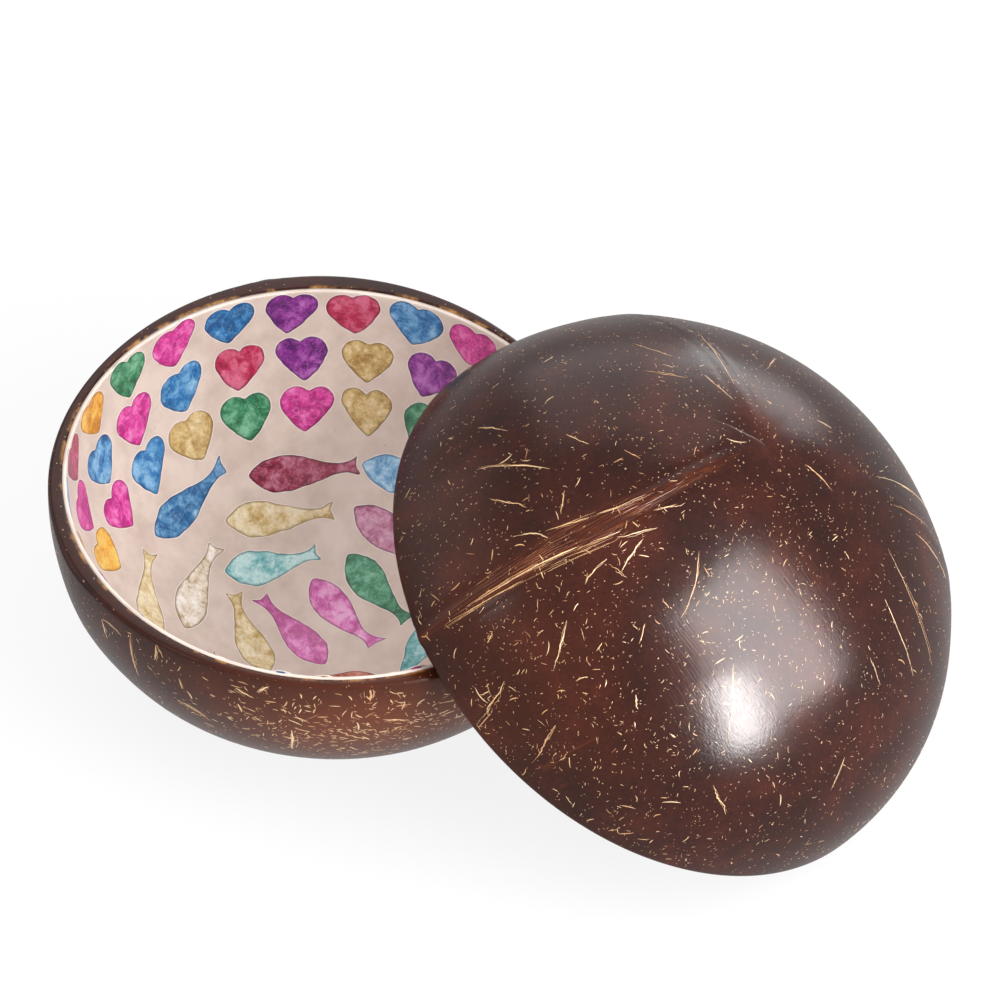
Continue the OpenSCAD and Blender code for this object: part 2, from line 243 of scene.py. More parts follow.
# Ends of single fibres: dots up to 0.35 mm wide about 1 mm apart, and fewer up to 0.5 mm wide, both
# thickest round the crown. Each row has the dots' pitch and their least and greatest share of it
dotted = rusted
for pitch, least, greatest in ((1.05, 0.04, 0.17), (2.2, 0.02, 0.12)):
    ends = add(tree, "TexVoronoi", Vector=spot, Scale=1000 / pitch, Randomness=1.0)
    shade = add(tree, "SeparateColor", Color=ends.outputs["Color"])
    chance = add(tree, "Math", {"operation": "MULTIPLY_ADD"}, n_0=crown, n_1=0.5, n_2=shade)
    size = add(tree, "MapRange", Value=chance, From_Min=0.4, From_Max=1.1, To_Min=least, To_Max=greatest)
    core = add(tree, "Math", TIMES, n_0=size, n_1=0.6)
    share = add(tree, "MapRange", Value=ends, From_Min=core, From_Max=size, To_Min=0.9, To_Max=0.0)
    dotted = add(tree, "Mix", COLOURS, n_0=share, n_6=dotted, n_7="#cba584")
# Fibres pressed flat in the husk's scar along the first ridge, 0.4 mm wide and about 6 mm long
stretched = add(tree, "Math", TIMES, n_0=along, n_1=0.06)
lengths = add(tree, "CombineXYZ", X=stretched, Y=off)
streak = add(tree, "TexNoise", Vector=lengths, Scale=2.6, Detail=5.0, Roughness=0.75)
streak_tone = add(tree, "ValToRGB", stops=((0.38, "#2a110a"), (0.54, "#4a1e0e"), (0.74, "#94531f")),
                  Fac=streak)
scarred = add(tree, "Mix", COLOURS, n_0=scar, n_6=dotted, n_7=streak_tone)
# The cut lip shows the paler inner layer of the shell, in stretches about 7 mm long
cut_wear = add(tree, "TexNoise", Vector=spot, Scale=1000 / 7, Detail=5.0, Roughness=0.7)
cut_break = add(tree, "MapRange", Value=cut_wear, From_Min=0.5, From_Max=0.66)
cut_share = add(tree, "Math", TIMES, n_0=lip_share, n_1=cut_break)
lipped = add(tree, "Mix", COLOURS, n_0=cut_share, n_6=scarred, n_7="#b8854a")
# Sanding scratches are finer than a tenth of a millimetre, and are drawn 0.3 mm wide and 7 mm long. The
# sanding by hand left soft hollows, 3.5 mm apart
SCRATCH_WAY = Vector((0.62, -0.42, -0.66))
axis, turned = SCRATCH_WAY.rotation_difference(Vector((0, 1, 0))).to_axis_angle()
scratch_way = add(tree, "VectorRotate", Vector=spot, Axis=axis, Angle=turned)
scratch_way = add(tree, "Mapping", Vector=scratch_way, Scale=(1000 / 0.3, 1000 / 7, 1000 / 0.3))
scratches = add(tree, "TexNoise", Vector=scratch_way, Scale=1.0, Detail=2.0)
scratch_bump = add(tree, "Bump", Height=scratches, Strength=0.35, Distance=0.0001)
uneven = add(tree, "TexNoise", Vector=spot, Scale=1000 / 3.5, Detail=3.0)
bump = add(tree, "Bump", Height=uneven, Strength=0.12, Distance=0.0003, Normal=scratch_bump)
feed(shader, Base_Color=lipped, Normal=bump, Coat_Normal=bump)


def warm_at(bowl, turn, depth):
    """How much redder and lighter the shell is drawn round one place, which has a strength, a turn and
    half width in radians, and a depth and half height in millimetres."""
    strength, middle, wide, deep, tall = bowl["warm"]
    return strength * np.exp(-((turn - middle) / wide) ** 2 - ((depth - deep) / tall) ** 2)


def rings_to_faces(rings, count):
    """Faces of a stack of rings, with one point before the first ring and one after the last."""
    ahead = [(i + 1) % count for i in range(count)]
    faces = [(0, 1 + ahead[i], 1 + i) for i in range(count)]
    last = 1 + (rings - 1) * count
    for a in range(1, last, count):
        faces += [(a + i, a + ahead[i], a + count + ahead[i], a + count + i) for i in range(count)]
    return faces + [(last + i, last + ahead[i], last + count) for i in range(count)]


SHELL_ROUND = 480


def shell_mesh(bowl):
    """The whole solid of a half shell: outside, rounded rim, and the hollow under the lacquer."""
    turn = np.linspace(0, 2 * np.pi, SHELL_ROUND, endpoint=False)
    last = bowl["flat_down"] if bowl["flat"] else math.radians(89.4)
    rings, layers = [], []

    def ring(points, lip_at=0.0):
        """Adds a ring, and what the finish reads there: places on the ridge, scar, crown, lip and the redder
        place.
        """
        x, y, z = points.T
        off, along, _, which = seam_places(bowl, x, y)
        apex = np.hypot(x - CROWN[0] * bowl["rim"], y - CROWN[1] * bowl["rim"])
        lower, upper = scar_sides(along)
        band = np.clip(1.3 - (2 * (off - lower) / (upper - lower) - 1) ** 2, 0, 0.85)
        scar = (which == 0) * bowl["scar"] / (1 + np.exp(-(along - STAIN_START) / 3)) * band * (z < -0.5)
        rings.append(points)
        layers.append(np.stack([off, along, scar, np.exp(-(apex / DOTS_WITHIN) ** 2),
                                np.full(SHELL_ROUND, lip_at), warm_at(bowl, np.arctan2(y, x), -z)], 1))

    if bowl["flat"]:
        for share in (0.5, 0.97):
            points = outside_points(bowl, turn, np.full(SHELL_ROUND, last)) * np.array([share, share, 1])
            points[:, 2] = -bowl["height"]
            ring(points)
    for down in last * (1 - np.linspace(0.004 if bowl["flat"] else 0, 1, 150)):
        points = outside_points(bowl, turn, np.full(SHELL_ROUND, down))
        points[:, 2] = np.maximum(points[:, 2], -bowl["height"] + 0.03 * bool(bowl["flat"]))
        ring(points)
    for slope in np.radians([22, 45, 67, 90]):
        ring(lip_points(bowl, turn, slope))
    inner = bowl["rim"] - bowl["wall"]
    for step, z, pale in ((1.0, 0.0, 0.0), (0.35, 0.0, 0.9), (0.12, -0.08, 1.0), (0.0, -0.3, 1.0)):
        ring(circle(turn, inner + step, z), pale)
    start = math.asin((bowl["centre"] + 0.6) / bowl["cavity"])
    for fall in np.linspace(start, math.radians(88), 24):
        ring(circle(turn, bowl["cavity"] * math.cos(fall), bowl["centre"] - bowl["cavity"] * math.sin(fall)))
    bottom = np.array([[0, 0, -bowl["height"]]])
    if not bowl["flat"]:
        bottom = outside_points(bowl, np.zeros(1), np.full(1, math.pi / 2))
    points = np.concatenate([bottom] + rings + [[[0, 0, bowl["centre"] - bowl["cavity"]]]])
    values = np.concatenate([[[0, 0, 0, 0.5, 0, 0]]] + layers + [np.zeros((1, 6))])
    layers = dict(zip(("off", "along", "scar", "crown", "lip", "warm"), values.T))
    return to_world(bowl, points), rings_to_faces(len(rings), SHELL_ROUND), layers


for bowl, part in ((OPEN, "open_shell"), (UPTURNED, "upturned_shell")):
    points, faces, layers = shell_mesh(bowl)
    build(part + "_polished", points, faces, shell_finish, bowl["body"], [part], layers)

# Coir fibres: strands of the husk that run in the shell's surface and were sanded down with it. They stand
# a little proud of it now. The long ones lie where they lie on the real bowls, and the short ones are
# strewn with a fixed seed.
FIBRE_PROUD, FIBRE_SUNK = 0.035, 0.06
STRAND_STEPS, SCAR_STRANDS = 24, 60

# Ground coir: dry golden fibre, rusty where it is stained, which gives the eye bright blotchy strokes
fibre_finish, tree, shader, spot = finish_of(
    "ground_coir_fibre", Roughness=0.42, Coat_Weight=0.44, Coat_Roughness=0.22)
kind = add(tree, "Attribute", {"attribute_name": "kind"}).outputs["Fac"]
blotch = add(tree, "TexNoise", Vector=spot, Scale=1000 / 1.6, Detail=3.0, Roughness=0.6)
mixed = add(tree, "Math", {"operation": "MULTIPLY_ADD"}, n_0=blotch, n_1=0.7, n_2=kind)
fibre_tone = add(tree, "ValToRGB", stops=((0.25, "#ecca98"), (0.6, "#cf975a"), (1.0, "#7c3c1a")),
                 Fac=mixed)
fibre_bump = add(tree, "Bump", Height=blotch, Strength=0.2, Distance=0.0001)
feed(shader, Base_Color=fibre_tone, Normal=fibre_bump)


def from_above(bowl, places):
    """Turn and down of points that are given as seen from above the mouth."""
    x, y = places[..., 0], places[..., 1]
    turn = np.arctan2(y, x)
    share = np.hypot(x, y) / (bowl["rim"] * outline(bowl, turn))
    return turn, np.arccos(np.clip(share, 0, 0.9999) ** (1 / bowl["fullness"]))


def from_side(bowl, places):
    """Turn and down of points that are given as millimetres round the rim and below it."""
    depth = (np.maximum(places[..., 1], 1.0) - RIM_ROUND) / (bowl["full"] - RIM_ROUND)
    return places[..., 0] / bowl["rim"], np.arcsin(np.clip(depth, 0.001, 0.999))


def strand_mesh(bowl, turn, down, width, kinds):
    """Three-sided slivers, from one row of turn and down for each strand, and the kind at each point."""
    rows, steps = turn.shape
    spine = outside_points(bowl, turn, down)
    nudge = 1e-3
    up = np.cross(outside_points(bowl, turn + nudge, down) - spine,
                  outside_points(bowl, turn, down - nudge) - spine)
    up /= np.linalg.norm(up, axis=-1, keepdims=True)
    side = np.cross(up, np.gradient(spine, axis=1))
    side /= np.linalg.norm(side, axis=-1, keepdims=True) + 1e-9
    wide, sunk = side * width[..., None], up * FIBRE_SUNK
    corners = np.stack([spine - wide - sunk, spine + up * FIBRE_PROUD, spine + wide - sunk], 2)
    starts = np.arange(rows) * steps * 3
    at = (starts[:, None] + np.arange(steps - 1) * 3).reshape(-1, 1)
    sides = [at + np.array([a, b, b + 3, a + 3]) for a, b in ((0, 1), (1, 2), (2, 0))]
    last = starts + (steps - 1) * 3
    caps = np.concatenate([starts[:, None] + [0, 2, 1], last[:, None] + [0, 1, 2]])
    return corners.reshape(-1, 3), np.concatenate(sides).tolist() + caps.tolist(), np.repeat(kinds, steps * 3)


def smoothed(values, width):
    """A running mean over a few neighbours."""
    return np.convolve(np.pad(values, width // 2, "edge"), np.ones(width) / width, "valid")


def long_strands(bowl, rows, reader, rng):
    """Single long fibres from their start, heading, length and bend. A thick one is a bundle of thin ones."""
    turn, down, width, kinds = [], [], [], []
    for x, y, heading, length, bend, thick, rusty in rows:
        for k in range(1 + int(thick / 0.35)):
            first, last = (0, 1) if k == 0 else (rng.uniform(0, 0.4), rng.uniform(0.6, 1))
            share = np.linspace(first, last, STRAND_STEPS)
            way = np.radians(heading + bend * (share - 0.5))
            wander = smoothed(rng.normal(0, 0.2, STRAND_STEPS), 5)
            ahead = np.stack([np.cos(way), np.sin(way)], 1)
            run = np.cumsum(ahead, 0) * length * (last - first) / STRAND_STEPS
            across = np.stack([-np.sin(way), np.cos(way)], 1)
            apart = rng.normal(0, thick / 4) * (k > 0)
            begin = np.array([x, y]) + first * length * ahead[0]
            t, d = reader(bowl, begin + run + across * (wander + apart)[:, None])
            turn.append(np.unwrap(t))
            down.append(d)
            rough = np.clip(1 + 0.35 * smoothed(rng.normal(0, 1, STRAND_STEPS), 3), 0.3, 1.8)
            taper = np.sin(np.pi * np.linspace(0.02, 0.98, STRAND_STEPS)) ** 0.5
            width.append((0.1 + 0.22 * thick * (k == 0)) * rough * taper)
            kinds.append(0.35 if rusty else rng.uniform(-0.1, 0.3))
    return strand_mesh(bowl, np.array(turn), np.array(down), np.array(width), np.array(kinds))


def scar_strands(bowl, rng):
    """Fibres that lie along the first ridge: pale ones at the scar's two sides, and rusty ones between."""
    crown = np.array(CROWN) * bowl["rim"]
    way = math.radians(bowl["ridges"][0])
    ahead, across = np.array([math.cos(way), math.sin(way)]), np.array([-math.sin(way), math.cos(way)])
    out = np.linspace(0, 1.3 * bowl["rim"], 2000)
    x, y = (crown + out[:, None] * ahead).T
    reach = out[np.hypot(x, y) < bowl["rim"] * outline(bowl, np.arctan2(y, x))].max()
    turn, down, width, kinds = [], [], [], []
    for _ in range(SCAR_STRANDS):
        between = rng.uniform(0, 1) < 0.45
        place = rng.uniform(0.15, 0.85) if between else rng.choice([0, 0, 0, 1]) + rng.normal(0, 0.05)
        long = rng.uniform(2, 11)
        gap = rng.uniform(1, reach - 22 - long) if between else rng.uniform(0.2, 4.2) ** 2
        along = reach - np.linspace(math.sqrt(gap + long), math.sqrt(gap), STRAND_STEPS) ** 2
        lower, upper = scar_sides(along)
        wander = 0.1 * np.cumsum(rng.normal(0, 1, STRAND_STEPS)) / 3
        off = lower + (upper - lower) * place + wander
        t, d = from_above(bowl, crown + along[:, None] * ahead + off[:, None] * across)
        turn.append(np.unwrap(t))
        down.append(np.maximum(d, 0.012))
        taper = np.sin(np.pi * np.linspace(0.03, 0.97, STRAND_STEPS)) ** 0.5
        width.append(rng.uniform(0.05, 0.12) * taper)
        kinds.append(rng.uniform(0.5, 1.0) if between else rng.uniform(0, 0.4))
    return strand_mesh(bowl, np.array(turn), np.array(down), np.array(width), np.array(kinds))


def short_strands(bowl, rng, number, middle, stout, lie, dense):
    """Short strands strewn over the outside: their middle length, stoutness and lie, and where they are
    dense, from the turn and from how far down they are, as a share."""
    turn = rng.uniform(-np.pi, np.pi, number * 12)
    down = np.arcsin(rng.uniform(0.02, 0.995, number * 12))
    kept = rng.uniform(0, 1, len(turn)) < dense(turn, np.sin(down))
    turn, down = turn[kept][:number], down[kept][:number]
    n = len(turn)
    length = np.clip(rng.lognormal(math.log(middle), 0.55, n), 0.3, 4.5)
    way = rng.normal(lie, 0.5, n) + np.where(rng.uniform(0, 1, n) < 0.3, np.pi / 2, 0)
    share = np.linspace(-0.5, 0.5, 6)[None, :]
    way = way[:, None] + rng.normal(0, 0.22, n)[:, None] * share
    radius = bowl["rim"] * np.maximum(np.cos(down), 0.08)
    turn = turn[:, None] + np.sin(way) * share * (length / radius)[:, None]
    down = down[:, None] + np.cos(way) * share * (length / bowl["rim"])[:, None]
    if bowl["flat"]:
        down = np.minimum(down, bowl["flat_down"] - 0.04)
    thick = stout * np.clip(0.09 + 0.06 * length * rng.uniform(0.2, 1.5, n), 0.09, 0.28)
    width = thick[:, None] * np.cos(np.pi * share * 0.96) ** 0.5
    return strand_mesh(bowl, turn, np.clip(down, 0.01, 1.56), width,
                       np.clip(rng.normal(0.18, 0.22, n), -0.1, 0.7))


# The fibres that catch the eye: start, heading and length as seen from above the mouth, in whole
# millimetres and degrees, then bend, thickness, and whether it is rusty
UPTURNED_STRANDS = [
    (-64, 19, 6, 11, 8, 0.7, 0), (-60, 27, 20, 7, 0, 0.7, 0), (-49, 25, 75, 6, 0, 0.5, 0),
    (-53, 11, 24, 5, 0, 0.5, 0), (-66, 7, 30, 5, 0, 0.5, 0), (-42, 13, 20, 4, 0, 0.5, 0),
    (-49, 35, -40, 19, -18, 0.6, 0), (-53, 36, 0, 6, 60, 0.6, 0), (-53, 49, -44, 24, 12, 0.8, 0),
    (-52, 48, -50, 9, 10, 0.5, 0), (-36, 34, -37, 8, 0, 0.5, 0), (-32, 26, -36, 7, 0, 0.5, 0),
    (-31, 32, 95, 8, -25, 0.7, 0), (-35, 39, 20, 5, 0, 0.5, 0), (-37, 44, -78, 6, 20, 0.5, 0),
    (-20, 30, 74, 15, 25, 0.5, 0), (-36, 50, 62, 9, 0, 0.8, 0), (-38, 59, 46, 6, -30, 0.9, 0),
    (-24, 64, 50, 4, -50, 0.8, 0), (-15, 58, 35, 3, 0, 0.7, 0), (-46, 52, 55, 2, 0, 0.8, 0),
    (-1, 46, 46, 15, 8, 0.4, 0), (13, 61, 0, 8, -15, 0.9, 0), (23, 0, 15, 29, -20, 0.5, 0),
    (27, 12, 12, 19, -10, 0.4, 0), (30, 25, 13, 7, 0, 0.6, 1), (41, 45, -120, 5, 0, 0.4, 0),
    (15, -15, -36, 30, 5, 0.7, 0), (22, -12, -30, 17, 0, 0.4, 1), (31, -12, -16, 18, 15, 0.4, 0),
    (-30, -38, 72, 22, -12, 0.5, 0), (-42, -13, -8, 9, -15, 0.4, 0), (-30, -17, 40, 9, 0, 0.4, 0),
    (-44, -24, 22, 8, 0, 0.3, 0), (-15, -30, -70, 10, 0, 0.4, 0), (-4, -3, 15, 9, 20, 0.4, 1)]
# On the open bowl: start as millimetres round the rim and below it, and a heading of 90 goes straight down
OPEN_STRANDS = [
    (-155, 6, 78, 6, 0, 1.4, 0), (-155, 6, 0, 7, 60, 1.0, 0), (-145, 2, 90, 17, -10, 1.9, 0),
    (-138, 1, 95, 6, 20, 1.6, 0), (-138, 1, 60, 4, 30, 1.0, 0), (-134, 20, 25, 10, 70, 1.4, 0),
    (-132, 9, 80, 4, 0, 1.2, 0), (-118, 5, 30, 5, 0, 1.6, 0), (-110, 2, 135, 4, 0, 1.4, 0),
    (-105, 18, 90, 12, 20, 2.2, 0), (-87, 1, 90, 4, 0, 2.4, 0), (-84, 13, 15, 7, 20, 1.6, 0)]
# Short fibres: fine ones all over, and stout ones at the open bowl's front and round the upturned one's scar
OPEN_STREWN = [
    (900, 0.8, 1.0, 0.3, lambda turn, z: 0.3 + 0.3 * z),
    (850, 1.2, 1.8, 1.2, lambda turn, z: np.exp(-((turn + 1.35) / 0.55) ** 2 - ((z - 0.25) / 0.2) ** 2))]
UPTURNED_STREWN = [
    (2300, 0.5, 1.0, 0.3, lambda turn, z: 0.2 + 0.7 * np.exp(-((turn - 1.7) / 1.1) ** 2)),
    (330, 1.4, 1.15, 0.4, lambda turn, z: 0.06 + 0.9 * np.exp(-((turn - 1.9) / 0.6) ** 2) * (1.1 - z))]


def joined(parts):
    """Meshes as one: their points, their faces and their values in a row."""
    faces, so_far = [], 0
    for points, own, _ in parts:
        faces += [tuple(i + so_far for i in face) for face in own]
        so_far += len(points)
    points, _, values = zip(*parts)
    return np.concatenate(points), faces, np.concatenate(values)


rng = np.random.default_rng(21)
for bowl, rows, reader, name, strewn in (
        (OPEN, OPEN_STRANDS, from_side, "open_shell_fibres", OPEN_STREWN),
        (UPTURNED, UPTURNED_STRANDS, from_above, "upturned_shell_fibres", UPTURNED_STREWN)):
    parts = [long_strands(bowl, rows, reader, rng)]
    if bowl is UPTURNED:
        parts.append(scar_strands(bowl, rng))
    parts += [short_strands(bowl, rng, *layer) for layer in strewn]
    points, faces, kinds = joined(parts)
    build(name, to_world(bowl, points), faces, fibre_finish, bowl["body"],
          layers={"kind": kinds})

# Lining: many brushed coats of lacquer in the hollow, 1 mm in all, rubbed down between coats and ended
# in a rounded edge just under the shell's rim.
LACQUER_STEP = 0.2
LINING_ROUND = 240

# Cream-white lacquer: it gives the eye a soft even gloss, with faint grey patches at random, partly where the
# coats differ and partly painted shade like that beside the inlays, and a few specks of dust
lacquer_finish, tree, shader, spot = finish_of(
    "cream_white_lacquer", Roughness=0.4, Coat_Weight=0.27, Coat_Roughness=0.25)
cloud = add(tree, "TexNoise", Vector=spot, Scale=1000 / 9, Detail=4.0, Roughness=0.6)
# The grey of these patches is partly painted shade, like the soft shade beside the inlays
coat_tone_and_shade = add(tree, "ValToRGB", stops=((0.32, "#cdbaad"), (0.62, "#e0cfc3")), Fac=cloud)
dust = add(tree, "TexVoronoi", Vector=spot, Scale=1000 / 3.2, Randomness=1.0)
dust_share = add(tree, "Math", {"operation": "LESS_THAN"}, n_0=dust, n_1=0.035)
dusted = add(tree, "Mix", COLOURS, n_0=dust_share, n_6=coat_tone_and_shade, n_7="#8d7c70")
# The beads against the inlays' edges are whitened halfway to near white: a painted highlight along them
bead = add(tree, "Attribute", {"attribute_name": "bead"}).outputs["Fac"]
bead_highlighted = add(tree, "Mix", COLOURS, n_0=bead, n_6=dusted, n_7="#fbf7f2")
brushed = add(tree, "TexNoise", Vector=spot, Scale=1000 / 6, Detail=3.0)
coat_bump = add(tree, "Bump", Height=brushed, Strength=0.25, Distance=0.0004)
feed(shader, Base_Color=bead_highlighted, Normal=coat_bump)


def lining_mesh(bowl):
    """A thin cup of lacquer: its inner face, a rounded edge just under the rim, and its back."""
    turn = np.linspace(0, 2 * np.pi, LINING_ROUND, endpoint=False)
    centre, face, back = bowl["centre"], bowl["lined"], bowl["lined"] + LACQUER_THICK
    start = math.asin((centre + LACQUER_STEP + 0.25) / face)
    profile = [(face * math.cos(fall), centre - face * math.sin(fall))
               for fall in np.linspace(math.radians(89.4), start, 90)]
    edge, outer = (math.sqrt(radius ** 2 - (centre + LACQUER_STEP) ** 2) for radius in (face, back))
    profile += [(edge + 0.08, -LACQUER_STEP - 0.07), (edge + 0.25, -LACQUER_STEP), (outer, -LACQUER_STEP)]
    profile += [(back * math.cos(fall), centre - back * math.sin(fall))
                for fall in np.linspace(math.asin((centre + 1) / back), math.radians(89), 20)]
    rings = [circle(turn, radius, z) for radius, z in profile]
    points = np.concatenate([[[0, 0, centre - face]]] + rings + [[[0, 0, centre - back]]])
    faces = [tuple(reversed(f)) for f in rings_to_faces(len(rings), LINING_ROUND)]
    return to_world(bowl, points), faces


for bowl, part in ((OPEN, "open_lining"), (UPTURNED, "upturned_lining")):
    points, faces = lining_mesh(bowl)
    build(part + "_lacquer", points, faces, lacquer_finish, bowl["body"], [part])

# Inlays: hearts and fish cut by hand from thin dyed mother of pearl and laid in the wet lacquer, which
# rises in a bead against their edges. Three rings of hearts run under the rim, and fish below them.
HEART_WIDE, HEART_LONG, FISH_LONG_SHARE, FISH_WIDE_SHARE = 12.7, 11.6, 0.435, 0.315
INLAY_THICK, EDGE_GAP = 0.4, 0.1
# A piece stands this proud of the lacquer, and its face swells this much more within the last width
PROUD, SWELL, SWELL_WIDE = 0.012, 0.07, 0.6
OUTLINE_STEP, GRID_STEP, NICK = 0.55, 0.9, 0.11
FIRST_DROP, RING_PITCH, SWAY = 6.5, 12.6, 6.0
# Each ring of hearts: turn of its first, least gap between two, and the colours in order
HEART_RINGS = [
    (59.5, 2.1, "pink blue crimson violet blue pink green amber crimson blue gold pink violet green blue "
                "amber pink crimson blue gold violet pink green crimson violet"),
    (68.6, 2.5, "violet gold violet crimson blue pink blue pink gold green violet pink blue crimson amber "
                "blue pink violet green gold pink blue crimson"),
    (66.4, 1.6, "green gold pink green gold blue pink amber violet blue pink green crimson gold blue pink "
                "amber violet green blue crimson pink")]
# Turn, fall as a share of the innermost hearts', heading, colour and bend of each fish
SHOAL = [
    (142, 0.786, 92, "blue", 1.2), (100.5, 0.751, 90, "crimson", 0.4), (64, 0.794, 96, "sky", 0.3),
    (184.5, 0.751, 98, "gold", -0.5), (222, 0.672, 66, "blue", 0.6), (263, 0.759, 90, "pink", 0.4),
    (303, 0.786, 92, "green", -0.6), (343, 0.777, 88, "teal", 0.5), (24, 0.786, 90, "crimson", 0.6),
    (112, 0.585, 82, "gold", 0.3), (60, 0.55, 80, "mauve", 0.5), (165.5, 0.553, 97, "pearl", -0.8),
    (10, 0.576, 88, "gold", 0.6), (320, 0.559, 92, "blue", -0.5), (269, 0.532, 90, "mauve", 0.4),
    (123.5, 0.41, 77, "teal", 0.7), (53, 0.332, 73, "green", 0.8), (181, 0.297, 117, "gold", -0.6),
    (351, 0.384, 72, "teal", 0.5), (282, 0.218, 86, "coral", 0.3), (68, 0.166, 59, "pink", 1.2),
    (150, 0.129, 160, "pink", 1.0), (227, 0.419, 95, "pearl", 0.4)]
# Fish with less fall than this share are cut shorter
LOW_FALL, LOW_LENGTH = 0.5, 0.9
# Half widths of a fish from its nose to its tail, as shares
FISH_PROFILE = np.array([
    (0, 0), (0.01, 0.12), (0.03, 0.26), (0.07, 0.48), (0.13, 0.74), (0.21, 0.94), (0.3, 1.0), (0.39, 0.96),
    (0.48, 0.83), (0.58, 0.65), (0.67, 0.47), (0.75, 0.33), (0.82, 0.27), (0.88, 0.29), (0.93, 0.4),
    (0.97, 0.5), (1, 0.54)])
# A fish is drawn larger by these factors before its outline is smoothed, which takes a little off
FISH_MORE_LONG, FISH_MORE_WIDE = 1.03, 1.06


def ring_fall(bowl, k):
    """Degrees up from the bottom of the bowl to a ring of hearts."""
    drop = (FIRST_DROP + k * RING_PITCH) / bowl["lined"]
    return math.degrees(math.acos(bowl["centre"] / bowl["lined"]) - drop)


def heart_outline(rng):
    """A heart with its tip along +X: two lobes, a soft notch and a blunt tip, never twice the same."""
    wide = (HEART_WIDE - 2 * EDGE_GAP) * rng.normal(1, 0.025)
    long = (HEART_LONG - 2 * EDGE_GAP) * rng.normal(1.02, 0.03)
    halves = []
    lean = rng.normal(0, 0.06)
    for side in (1, -1):
        lobe = 0.285 * wide * rng.uniform(0.93, 1.07)
        centre = np.array([lobe - long / 2 + rng.normal(0, 0.12), wide / 2 - lobe])
        tip = np.array([long / 2, 0.0])
        away = tip - centre
        touch = math.atan2(away[1], away[0]) + math.acos(lobe / np.linalg.norm(away))
        notch = math.atan2(-centre[1], -math.sqrt(lobe ** 2 - centre[1] ** 2)) + 2 * math.pi
        arc = np.linspace(notch, touch, 18)
        rim = centre + lobe * np.stack([np.cos(arc), np.sin(arc)], 1)
        share = np.linspace(0.1, 0.97, 9)[:, None]
        swell = np.array([0.5, 0.85]) * np.sin(np.pi * share) * (0.42 + rng.normal(0, 0.1))
        half = np.concatenate([rim, rim[-1] * (1 - share) + tip * share + swell])
        halves.append(half * np.array([1, side]))
    loop = np.concatenate([halves[0], halves[1][:0:-1]])
    return loop + lean * loop[:, ::-1]


def fish_outline(rng, long, wide, bend):
    """A fish with its nose along +X: a plump body, a narrow stem and a forked tail, curved along its back."""
    long, wide = long * FISH_MORE_LONG, wide * FISH_MORE_WIDE
    x = long * (0.5 - FISH_PROFILE[:, 0])
    upper, lower = (
        np.stack([x, side * wide / 2 * FISH_PROFILE[:, 1] * (1 + rng.normal(0, 0.035, len(x)))], 1)
        for side in (1, -1))
    fork = np.array([[long * (rng.normal(0, 0.012) - 0.455), rng.normal(0, 0.3)]])
    upper[-1] += rng.normal(0, 0.3, 2) + [0.3, 0]
    lower[-1] += rng.normal(0, 0.3, 2) + [0.3, 0]
    loop = np.concatenate([upper, fork, lower[:0:-1]])
    loop[:, 1] += bend * 2.2 * (np.clip(0.15 * long - loop[:, 0], 0, None) / (0.65 * long)) ** 2
    return loop


def evened(loop, gap):
    """The same outline with its points evenly spaced."""
    closed = np.concatenate([loop, loop[:1]])
    run = np.concatenate([[0], np.cumsum(np.linalg.norm(np.diff(closed, axis=0), axis=1))])
    places = np.linspace(0, run[-1], max(24, int(run[-1] / gap)), endpoint=False)
    return np.stack([np.interp(places, run, closed[:, i]) for i in (0, 1)], 1)


def from_edge(points, loop):
    """Distance of each point from the outline."""
    step = np.roll(loop, -1, 0) - loop
    share = np.clip(((points[:, None] - loop) * step).sum(-1) / (step * step).sum(-1), 0, 1)
    return np.linalg.norm(points[:, None] - loop - share[..., None] * step, axis=-1).min(1)


def inside(points, loop):
    """Which points are within the outline."""
    (ax, ay), (bx, by) = loop.T, np.roll(loop, -1, 0).T
    x, y = points[:, 0][:, None], points[:, 1][:, None]
    crosses = ((ay > y) != (by > y)) & (x < (bx - ax) * (y - ay) / (by - ay + 1e-12) + ax)
    return crosses.sum(1) % 2 == 1


def inward_of(loop):
    """The direction into the outline at each of its points."""
    step = np.roll(loop, -1, 0) - np.roll(loop, 1, 0)
    way = np.stack([-step[:, 1], step[:, 0]], 1) / np.linalg.norm(step, axis=1, keepdims=True)
    return way if inside(loop[:1] + way[:1] * 0.2, loop)[0] else -way


def laid(bowl, turn, fall, spin, flat, radius):
    """Sets flat points down on the lining's curve: turn round the bowl, fall up from its bottom, own spin."""
    turn, fall, spin = (math.radians(v) for v in (turn, fall, spin))
    out = np.array([math.sin(fall) * math.cos(turn), math.sin(fall) * math.sin(turn), -math.cos(fall)])
    down = np.array([-math.cos(fall) * math.cos(turn), -math.cos(fall) * math.sin(turn), -math.sin(fall)])
    across = np.cross(out, down)
    u = flat[:, 0] * math.cos(spin) - flat[:, 1] * math.sin(spin)
    v = flat[:, 0] * math.sin(spin) + flat[:, 1] * math.cos(spin)
    up = np.sqrt(radius ** 2 - u ** 2 - v ** 2)
    return u[:, None] * down + v[:, None] * across + up[:, None] * out + np.array([0, 0, bowl["centre"]])


